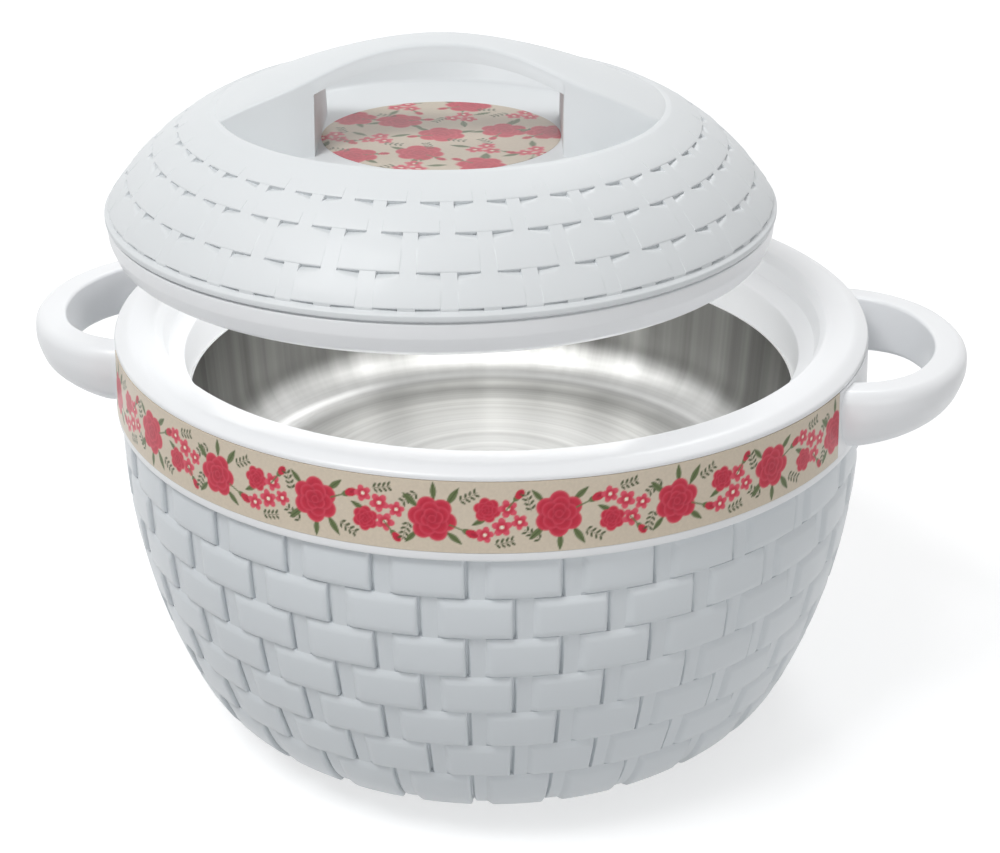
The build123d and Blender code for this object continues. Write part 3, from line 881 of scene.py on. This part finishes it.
def band_plan(length, seed):
    """A garland along a strip, turned over by turns: a large rose, a small one and a spray."""
    chance = np.random.default_rng(seed)
    plan = []
    x = -length / 2 + 10.0
    up = 1
    while x < length / 2 - 2:
        lean = chance.uniform(0, 6.2)
        garland = [
            ("leaf", -7.4, 5.6, 4.0, 2.4 * up),
            ("leaf", 6.9, 7.6, 4.2, 1.0 * up),
            ("leaf", 0.4, 9.4, 3.6, 1.6 * up),
            ("leaf", 7.4, -7.6, 3.8, -0.7 * up),
            ("leaf", -7.2, -7.8, 3.4, -2.3 * up),
            ("rose", 0.0, -0.8, ROSE_SIZE + chance.uniform(-0.3, 0.3), lean),
            ("bud", 11.8, -5.2, 2.7, -0.4 * up),
            ("sprig", 12.4, 7.6, 3.6, 0.5 * up),
            ("leaf", 16.2, -1.2, 3.4, 0.5 * up),
            ("rose", 18.6, 3.0, 4.6, lean + 2),
            ("blossom", 17.8, -6.2, 3.2, lean + 1),
            ("blossom", 23.6, -3.4, 3.6, lean + 2),
            ("blossom", 25.6, 3.4, 3.5, lean + 3),
            ("blossom", 29.6, -1.6, 3.0, lean + 4),
            ("bud", 28.6, 7.4, 2.4, 0.9 * up),
            ("sprig", 24.6, -9.2, 3.4, 0.2),
            ("sprig", 32.6, 6.0, 3.6, 1.9 * up),
            ("sprig", 34.0, -6.4, 3.4, 2.5 * up),
        ]
        for motif, along, off, size, turn in garland:
            plan.append((motif, x + along, band_rise / 2 + up * off, size, turn))
        x += GARLAND_LENGTH + chance.uniform(-1.0, 1.0)
        up = -up
    return plan


def print_strip(name, middle, node, seed):
    """One printed strip of the band, with its ink, between the two handle saddles."""
    half = math.pi / 2 - SADDLE_HALF_TURN - BAND_END_GAP
    steps = round(2 * half * band_radius / BAND_STEP)
    rows = round(band_rise / BAND_STEP)
    lean_in = BAND_TOP[0] - BAND_BOTTOM[0]
    profile = [
        (BAND_BOTTOM[0] + lean_in * k / rows, BAND_BOTTOM[1] + band_rise * k / rows)
        for k in range(rows + 1)
    ]
    profile += [
        (BAND_TOP[0] - BAND_THICKNESS, BAND_TOP[1]),
        (BAND_BOTTOM[0] - BAND_THICKNESS, BAND_BOTTOM[1]),
    ]
    made = lathe(
        name, profile, FILM, steps=steps, start=middle - half, sweep=2 * half, crease=50.0
    )
    points = np.array([v.co for v in made.data.vertices]) / MM
    out, across = turned(points[:, 0], points[:, 1], middle)
    along = np.arctan2(across, out) * band_radius
    plan = band_plan(2 * half * band_radius, seed)
    ink_on(made, printed(along, points[:, 2] - BAND_BOTTOM[1], plan))
    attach(made, "pot")
    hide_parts(node)


print_strip("print_band_front", -math.pi / 2, "pattern_band_front", 4)
print_strip("print_band_back", math.pi / 2, "pattern_band_back", 9)

# Handles
# Two D-shaped loops moulded in white, each with a saddle plate that fills the band's
# gap. The grip is rounded outside and has a crisp upper inner edge.
HANDLE_REACH = 189.5
HANDLE_HALF = 57.0
GRIP = 13.0
GRIP_TOP = 169.0
GRIP_DEPTH = 19.0
ROOT_DROP = 5.5
ROOT_RADIUS = 147.5
ROOT_OVERLAP = 5.0
CORNER_RADIUS = 40.0
CORNER_TURN = math.radians(60)
CORNER_SECTIONS = 16
TIP_SECTIONS = 24
SADDLE_INSIDE = ((151.1, 144.3), (149.7, 170.5))


def handle_path():
    """Places (x, y, heading) along the loop's centre line, out of the rim, round and back."""
    half = HANDLE_HALF - GRIP / 2
    tip = HANDLE_REACH - GRIP / 2
    tip_radius = (half - CORNER_RADIUS * (1 - math.cos(CORNER_TURN))) / math.cos(CORNER_TURN)
    start = tip - CORNER_RADIUS * math.sin(CORNER_TURN) - tip_radius * (1 - math.sin(CORNER_TURN))
    path = [(start - ROOT_OVERLAP, -half, 0.0)]
    for k in range(CORNER_SECTIONS + 1):
        turn = CORNER_TURN * k / CORNER_SECTIONS
        y = CORNER_RADIUS * (1 - math.cos(turn)) - half
        path.append((start + CORNER_RADIUS * math.sin(turn), y, turn))
    for k in range(1, TIP_SECTIONS + 1):
        turn = CORNER_TURN + (math.pi - 2 * CORNER_TURN) * k / TIP_SECTIONS
        x = tip - tip_radius + tip_radius * math.sin(turn)
        path.append((x, -tip_radius * math.cos(turn), turn))
    for k in range(1, CORNER_SECTIONS + 1):
        turn = math.pi - CORNER_TURN + CORNER_TURN * k / CORNER_SECTIONS
        y = half - CORNER_RADIUS * (1 + math.cos(turn))
        path.append((start + CORNER_RADIUS * math.sin(turn), y, turn))
    return path + [(start - ROOT_OVERLAP, half, math.pi)]


# the grip's section from its upper inner edge round, as (outwards, upwards, rounding)
GRIP_OUTLINE = rounded([
    (-GRIP / 2, 0.0, 1.5),
    (GRIP / 2 - 0.6, 0.0, 5.4),
    (GRIP / 2, -GRIP_DEPTH * 0.42, 9.0),
    (GRIP / 2 - 2.4, -GRIP_DEPTH * 0.8, 8.0),
    (GRIP / 2 - 7.0, -GRIP_DEPTH, 4.5),
    (-GRIP / 2, -GRIP_DEPTH, 2.0),
])


def handle_loop(name, facing):
    """One loop handle, deeper towards its roots; facing is 1 for +X and -1 for -X."""
    vertices = []
    path = handle_path()
    for x, y, heading in path:
        inwards = min(max((HANDLE_REACH - x) / (HANDLE_REACH - ROOT_RADIUS), 0), 1)
        deeper = 1 + ROOT_DROP * inwards / GRIP_DEPTH
        cos, sin = facing * math.cos(heading), facing * math.sin(heading)
        vertices += [
            (facing * x + off * sin, facing * y - off * cos, GRIP_TOP + up * deeper)
            for off, up in GRIP_OUTLINE
        ]
    sections, points = len(path), len(GRIP_OUTLINE)
    faces = skin(sections, points) + caps(sections, points)
    return mesh_object(name, vertices, faces, WHITE_PLASTIC)


def handle_saddle(name, middle):
    """The plate at a handle's root, which fills the gap between the two printed strips."""
    return lathe(
        name,
        [SADDLE_INSIDE[0], BAND_BOTTOM, BAND_TOP, SADDLE_INSIDE[1]],
        WHITE_PLASTIC,
        steps=40,
        start=middle - SADDLE_HALF_TURN,
        sweep=2 * SADDLE_HALF_TURN,
    )


for name, facing, middle, node in (
    ("loop_handle_right", 1, 0.0, "handle_right"),
    ("loop_handle_left", -1, math.pi, "handle_left"),
):
    for piece in (handle_loop(name, facing), handle_saddle(name + "_saddle", middle)):
        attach(piece, "pot")
        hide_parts(node)

# Lid
# The lid hangs above the mouth, a little to one side and turned from the handles. Its
# dome is one off-white moulding with a woven side and a round pocket for the hand. The
# heights of the lid's profiles are above the groove between the dome and its ring.
LID_TURN = math.radians(8.4)
LID_CENTRE = (-19.2, -2.4, 219.061)
LID_SIDE = ((86.0, 39.2), (111.4, 23.4), (129.0, 3.6))
LID_WALL = 2.2
DOME_PROFILE = (
    (0.0, 64.2),
    (16.6, 62.6),
    (31.8, 58.9),
    (48.0, 54.8),
    (64.2, 48.4),
    (78.9, 42.3),
    (86.0, 39.2),
)
POCKET_FLOOR = (79.0, 25.6)
POCKET_UNDERSIDE = 23.4
BEAD_RADIUS = 130.7
GROOVE_RADIUS = 127.6
GROOVE_HALF = 0.45
INSIDE_STEPS = 24

# the lid's weave: shallow blocks whose only visible marks are the wedges beside a strip
LID_RELIEF = 0.8
LID_RISE_LENGTH = 9.0
LID_SLIT_DEPTH = 1.0
LID_WEDGE = 2.6
LID_WEDGE_TURN = 3.73
LID_ROW_ENDS = (3.9, 16.3, 28.8, 43.4)
LID_FOOT_GAP = 0.2
LID_FIRST_LENGTHS = [2.0, 3.0]
LID_TOP_LENGTHS = (-2.65, -2.0, -1.3, -0.6, 0.05, 2.4, 5.0)
LID_FOOT_LENGTHS = (-0.05, 0.05, 0.3, 0.6)
LID_WEAVE_TURN = math.radians(2.7 - 90)


def arc_through(one, two, three):
    """Centre and radius of the circle through three points of a profile."""
    (ax, ay), (bx, by), (cx, cy) = one, two, three
    a, b, c = ax**2 + ay**2, bx**2 + by**2, cx**2 + cy**2
    d = 2 * (ax * (by - cy) + bx * (cy - ay) + cx * (ay - by))
    ux = (a * (by - cy) + b * (cy - ay) + c * (ay - by)) / d
    uy = (a * (cx - bx) + b * (ax - cx) + c * (bx - ax)) / d
    return (ux, uy), math.hypot(ax - ux, ay - uy)


side_middle, side_radius = arc_through(*LID_SIDE)
side_turns = [math.atan2(z - side_middle[1], r - side_middle[0]) for r, z in LID_SIDE]
lid_side_length = side_radius * (side_turns[0] - side_turns[2])


def lid_side(length, outward=0.0):
    """Point (radius, height) at a length down the dome's woven side."""
    turn = side_turns[0] - length / side_radius
    reach = side_radius + outward
    return (side_middle[0] + reach * math.cos(turn), side_middle[1] + reach * math.sin(turn))


def lid_rise(down):
    """Height of the lid's weave at a length down a row: it grows towards the row's foot."""
    return LID_RELIEF * (0.7 + 0.3 * min(max(down, 0.0) / LID_RISE_LENGTH, 1.0))


def lid_block(_middle, down, left):
    """A block of the lid's weave: it stands proud at its foot only."""
    return lid_rise(down) * (0.65 + 0.35 * eased(left, 0.6))


def lid_strip(_middle, down):
    """A strip between two of the lid's blocks, almost level with them."""
    return lid_rise(LID_RISE_LENGTH * down) * (0.97 - 0.3 * down**4)


def lid_gap(middle, down):
    """The wedge-shaped hollow at each side of a strip: wide and deep there, then running out."""
    share = max(1 - (BLOCK_HALF - abs(middle)) / LID_WEDGE_TURN, 0.0)
    if share == 0.0:
        return lid_rise(0.0)
    scoop = min(down / (LID_WEDGE * share**0.7), 1.0)
    return lid_rise(0.0) * scoop - LID_SLIT_DEPTH * share**0.5 * (1 - scoop)


# off-white and duller than the rim, with wide faint highlights
LID_PLASTIC = moulded_plastic(
    "polypropylene, moulded, off-white", "#dcdfe1", "#d6dadc", roughness=0.5, coat=0.06
)
lid_ends = (*LID_ROW_ENDS, lid_side_length - 0.6)
lid_weave = {
    "rows": list(zip(lid_ends[:-1], lid_ends[1:])),
    "gap_above": LID_WEDGE,
    "gap_below": LID_FOOT_GAP,
    "gap": lid_gap,
    "block": lid_block,
    "strip": lid_strip,
}
# the pocket's last two points and the bead's first one only guide the roundings
pocket = rounded([
    (0.0, POCKET_FLOOR[1]),
    (*POCKET_FLOOR, 3.0),
    (*LID_SIDE[0], 1.6),
    lid_side(2.0),
    (0.0, 60.0),
])[:-2]
bead = rounded([
    (120.0, 3.4),
    lid_side(lid_side_length),
    (BEAD_RADIUS, 2.6, 0.7),
    (BEAD_RADIUS, GROOVE_HALF, 0.6),
    (GROOVE_RADIUS, GROOVE_HALF),
])[1:]
lid_inside = [
    lid_side(lid_side_length * k / INSIDE_STEPS, -LID_WALL)
    for k in reversed(range(3, INSIDE_STEPS - 1))
]
lid_dome = woven_ring(
    "lid_dome",
    pocket,
    lid_side,
    LID_FIRST_LENGTHS + row_stations(lid_weave, LID_TOP_LENGTHS, LID_FOOT_LENGTHS),
    [*bead, (GROOVE_RADIUS, 3.4), *lid_inside, (82.0, POCKET_UNDERSIDE), (0.0, POCKET_UNDERSIDE)],
    lid_weave,
    LID_PLASTIC,
    turn=LID_TURN + LID_WEAVE_TURN,
    centre=LID_CENTRE,
)
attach(lid_dome, "lid")
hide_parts("lid_shell")

# Bridge handle
# The dome's own surface carried across the pocket as a grip: narrow in the middle, wide
# where it meets the pocket's wall, with an arched finger gap under it.
BRIDGE_PLAN = (
    (0.0, 9.7),
    (16.0, 9.7),
    (30.0, 11.9),
    (38.0, 14.6),
    (46.5, 18.0),
    (56.0, 20.3),
    (92.0, 20.3),
)
BRIDGE_EASING = (-5, -3.5, -2, -0.8, 0, 0.8, 2, 3.5, 5)
BRIDGE_DRAFT = math.tan(math.radians(15.5))
BRIDGE_EDGE = 1.7
BRIDGE_END = 89.5
BRIDGE_FOOT = POCKET_FLOOR[1] - 1.0
EDGE_POINTS = 6
TOP_POINTS = 11
WINDOW_HALF = 46.5
WINDOW_TOP = (57.3, 47.6)

dome_radii, dome_heights = zip(*DOME_PROFILE)
dome_fit = np.polyfit([-r for r in dome_radii] + [*dome_radii], dome_heights * 2, 6)
bridge_at, bridge_halves = zip(*BRIDGE_PLAN)


def bridge_half(x):
    """Half width of the bridge in plan at a place along it, with the plan's corners eased."""
    near = [abs(x + off) for off in BRIDGE_EASING]
    return float(np.mean(np.interp(near, bridge_at, bridge_halves)))


def bridge_top(x, y):
    """Height of the bridge's top: the dome, and just under it past the pocket's rim."""
    rim = LID_SIDE[0][0]
    r = math.hypot(x, y)
    past = 0.62 * max(r - rim, 0.0) + 0.25 * min(max(r - rim - 0.6, 0.0), 1.0)
    return float(np.polyval(dome_fit, min(r, rim))) - past


def bridge_section(x, underside):
    """Closed section of the bridge across Y at a place along X, rounded at its upper edges."""
    half = bridge_half(x)
    edge = half + BRIDGE_DRAFT * (DOME_PROFILE[0][1] - bridge_top(x, half))
    right = []
    for k in range(EDGE_POINTS):
        turn = math.pi / 2 * k / (EDGE_POINTS - 1)
        y = edge - BRIDGE_EDGE * (1 - math.sin(turn))
        right.append((y, bridge_top(x, y) - BRIDGE_EDGE * (1 - math.cos(turn))))
    depth = bridge_top(x, edge) - underside
    right.append((edge + BRIDGE_DRAFT * depth * 0.5, underside + depth / 2))
    right.append((edge + BRIDGE_DRAFT * depth, underside))
    flat = edge - BRIDGE_EDGE
    top = [(y, bridge_top(x, y)) for y in np.linspace(-flat, flat, TOP_POINTS)[1:-1]]
    return [(-y, z) for y, z in reversed(right)] + top + right


def arch(x):
    """Height of the finger gap's arched top along the bridge."""
    rise = WINDOW_TOP[0] - WINDOW_TOP[1]
    radius = (WINDOW_HALF**2 + rise**2) / (2 * rise)
    return WINDOW_TOP[0] - radius + math.sqrt(radius**2 - x**2)


places = [(x, BRIDGE_FOOT) for x in np.linspace(-BRIDGE_END, -WINDOW_HALF, 30)]
places += [(x, arch(x)) for x in np.linspace(-WINDOW_HALF, WINDOW_HALF, 48)]
places += [(x, BRIDGE_FOOT) for x in np.linspace(WINDOW_HALF, BRIDGE_END, 30)]
bridge_vertices = []
for x, underside in places:
    for y, z in bridge_section(x, underside):
        px, py = turned(x, y, -LID_TURN)
        bridge_vertices.append((LID_CENTRE[0] + px, LID_CENTRE[1] + py, LID_CENTRE[2] + z))
bridge_points = len(bridge_vertices) // len(places)
bridge_faces = skin(len(places), bridge_points) + caps(len(places), bridge_points)
bridge = mesh_object("lid_bridge_handle", bridge_vertices, bridge_faces, LID_PLASTIC)
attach(bridge, "lid")
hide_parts("lid_shell")

# Printed disc
# A round of the same printed film let into the pocket's floor, under the bridge. Its
# whole print, cream too, is darkened as painted shade for the bridge and pocket over it.
DISC_RADIUS = 46.4
DISC_RISE = 0.12
DISC_THICKNESS = 0.7
# painted shade: the share by which the whole disc, cream too, is darkened
DISC_SHADE = 0.78
DISC_RINGS = 96
# rings of motifs on the disc: how far out and how many, and the reach of one's leaves
MOTIF_RINGS = ((0.0, 1), (25.0, 6), (42.0, 10))
LEAF_REACH = 9.6
SPRAY = ((-3.4, -2), (3.2, -2.4), (0.4, 3.6))


def beside(motif, x, y, away, size, bend=0.0):
    """A small motif at the side of a large one, pointing away from it."""
    place = (x + LEAF_REACH * math.cos(away), y + LEAF_REACH * math.sin(away))
    return (motif, *place, size, away + bend)


def disc_plan(seed):
    """Roses and sprays of blossoms by turns over a disc, each in leaves, a bud and a sprig."""
    chance = np.random.default_rng(seed)
    plan = []
    for out, count in MOTIF_RINGS:
        for k in range(count):
            turn = 2 * math.pi * (k + 0.35 * (count > 1)) / count
            x, y = out * math.cos(turn), out * math.sin(turn)
            lean = chance.uniform(0, 6.2)
            plan += [beside("leaf", x, y, lean, 4.6), beside("leaf", x, y, lean + 2, 4.2)]
            if (k + count) % 2 == 0 or count == 1:
                plan.append(("rose", x, y, 9.2, lean))
            else:
                plan += [("blossom", x + dx, y + dy, 3.6, lean) for dx, dy in SPRAY]
            plan.append(beside("bud", x, y, lean + 3, 2.6))
            plan.append(beside("sprig", x, y, lean + 5, 4.0, bend=0.6))
    return plan


disc_profile = [
    (DISC_RADIUS * k / DISC_RINGS, POCKET_FLOOR[1] + DISC_RISE) for k in range(DISC_RINGS + 1)
]
disc_profile += [(r, POCKET_FLOOR[1] - DISC_THICKNESS) for r in (DISC_RADIUS, 0.0)]
disc = lathe("printed_disc", disc_profile, FILM, centre=LID_CENTRE, steps=288, start=LID_TURN)
disc_points = np.array([v.co for v in disc.data.vertices]) / MM - LID_CENTRE
# the disc's print is darkened here as painted shade
ink_on(disc, printed(disc_points[:, 0], disc_points[:, 1], disc_plan(3)) * DISC_SHADE)
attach(disc, "lid")
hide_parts("lid_disc")

# Lid ring and plate
# The plain white ring that drops into the rim, with a groove above it and a conical
# foot, and the dished steel plate that closes the lid's underside, which the CAD has.
ring_profile = rounded([
    (116.0, -13.5, 0.6),
    (125.1, -13.5, 0.8),
    (127.8, -11.5, 1.5),
    (129.9, -6.0, 3.0),
    (130.1, -GROOVE_HALF, 0.8),
    (128.7, -GROOVE_HALF),
    (128.7, GROOVE_HALF),
    (GROOVE_RADIUS, GROOVE_HALF),
    (GROOVE_RADIUS, -11.1),
    (116.0, -11.1, 0.6),
])
lid_ring = lathe("lid_skirt_ring", ring_profile, WHITE_PLASTIC, centre=LID_CENTRE, steps=224)
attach(lid_ring, "lid")
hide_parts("lid_ring")
finish_node("lid_plate", STEEL)

# Stage
# A plain pale board and a white room, soft studio lamps, and the camera at the
# photograph's viewing angle. Sizes here are in metres, and lamps' power in watts.
FLOOR_HALF = 6.0
FLOOR_GLOW = (0.6, 0.85)
FLOOR_GLOW_AWAY = (0.6, 2.5)
ROOM_LIGHT = 0.34
ROOM_GLOSS = 0.35
POT_MIDDLE = (0, 0, 0.12)
LAMPS = (
    # name, place, aim, side and power
    ("key lamp", (-0.5, -0.72, 1.45), POT_MIDDLE, 0.6, 13.6),
    ("back lamp", (0.2, 0.95, 1.5), POT_MIDDLE, 0.5, 5.0),
    ("right lamp", (1.05, -1.15, 0.35), (0, 0, 0.14), 0.9, 3.9),
    # a small lamp under the lid lights the bowl, which the lid shades
    ("bowl lamp", (-0.019, -0.002, 0.2), (-0.019, -0.002, 0.0), 0.16, 0.19),
)
CAMERA_PLACE = (0.10564, -0.692, 0.45323)
CAMERA_TURN = math.radians(8.4)
CAMERA_DOWN = math.radians(26.58)
CAMERA_LENS = 66.77
CAMERA_SHIFT = 0.0352


def seen_white(tree):
    """Light Path's outputs, and 1 for the rays that see the background: camera and glossy."""
    ray = add(tree, "ShaderNodeLightPath").outputs
    links = {0: ray["Is Camera Ray"], 1: ray["Is Glossy Ray"]}
    return ray, add(tree, "ShaderNodeMath", links, operation="MAXIMUM").outputs[0]


floor_corners = [
    (x * FLOOR_HALF, y * FLOOR_HALF, 0) for x, y in ((-1, -1), (1, -1), (1, 1), (-1, 1))
]
floor_mesh = bpy.data.meshes.new("floor")
floor_mesh.from_pydata(floor_corners, [], [(0, 1, 2, 3)])
floor = bpy.data.objects.new("floor", floor_mesh)
bpy.context.scene.collection.objects.link(floor)
board, board_tree, board_shader = material("painted board, matt white", "#cccdce", 0.9)
place = add(board_tree, "ShaderNodeTexCoord").outputs["Object"]
away = add(board_tree, "ShaderNodeVectorMath", {0: place}, operation="LENGTH").outputs["Value"]
# the lamps fade with distance, and this keeps the board as white far off
even = add(
    board_tree,
    "ShaderNodeMapRange",
    {
        "Value": away,
        "From Min": FLOOR_GLOW_AWAY[0],
        "From Max": FLOOR_GLOW_AWAY[1],
        "To Min": FLOOR_GLOW[0],
        "To Max": FLOOR_GLOW[1],
    },
)
_, seen = seen_white(board_tree)
glow = add(board_tree, "ShaderNodeMath", {0: seen, 1: even.outputs[0]}, operation="MULTIPLY")
board_tree.links.new(glow.outputs[0], board_shader.inputs["Emission Strength"])
board_shader.inputs["Emission Color"].default_value = (1, 1, 1, 1)
floor_mesh.materials.append(board)

for name, place, aim, side, power in LAMPS:
    data = bpy.data.lights.new(name, "AREA")
    data.shape = "SQUARE"
    data.size = side
    data.energy = power
    lamp = bpy.data.objects.new(name, data)
    lamp.location = place
    lamp.rotation_euler = (Vector(aim) - Vector(place)).to_track_quat("-Z", "Y").to_euler()
    lamp.visible_camera = False
    bpy.context.scene.collection.objects.link(lamp)

world = bpy.data.worlds.new("white room")
bpy.context.scene.world = world
world.use_nodes = True
room = world.node_tree
room.nodes.clear()
ray, seen = seen_white(room)
seen = add(room, "ShaderNodeMath", {0: seen, 1: ray["Is Transmission Ray"]}, operation="MAXIMUM")
level = add(
    room, "ShaderNodeMapRange", {"Value": seen.outputs[0], "To Min": ROOM_LIGHT, "To Max": 1.0}
)
level = add(
    room,
    "ShaderNodeMath",
    {0: ray["Is Glossy Ray"], 1: ROOM_GLOSS, 2: level.outputs[0]},
    operation="MULTIPLY_ADD",
)
links = {"Color": (1, 1, 1, 1), "Strength": level.outputs[0]}
sky = add(room, "ShaderNodeBackground", links)
add(room, "ShaderNodeOutputWorld", {"Surface": sky.outputs[0]})

camera = bpy.data.cameras.new("camera")
camera.sensor_width = 36.0
camera.lens = CAMERA_LENS
camera.shift_y = CAMERA_SHIFT
camera_object = bpy.data.objects.new("camera", camera)
camera_object.location = CAMERA_PLACE
camera_object.rotation_euler = (math.pi / 2 - CAMERA_DOWN, 0, CAMERA_TURN)
bpy.context.scene.collection.objects.link(camera_object)
bpy.context.scene.camera = camera_object
bpy.context.scene.view_settings.view_transform = "Standard"
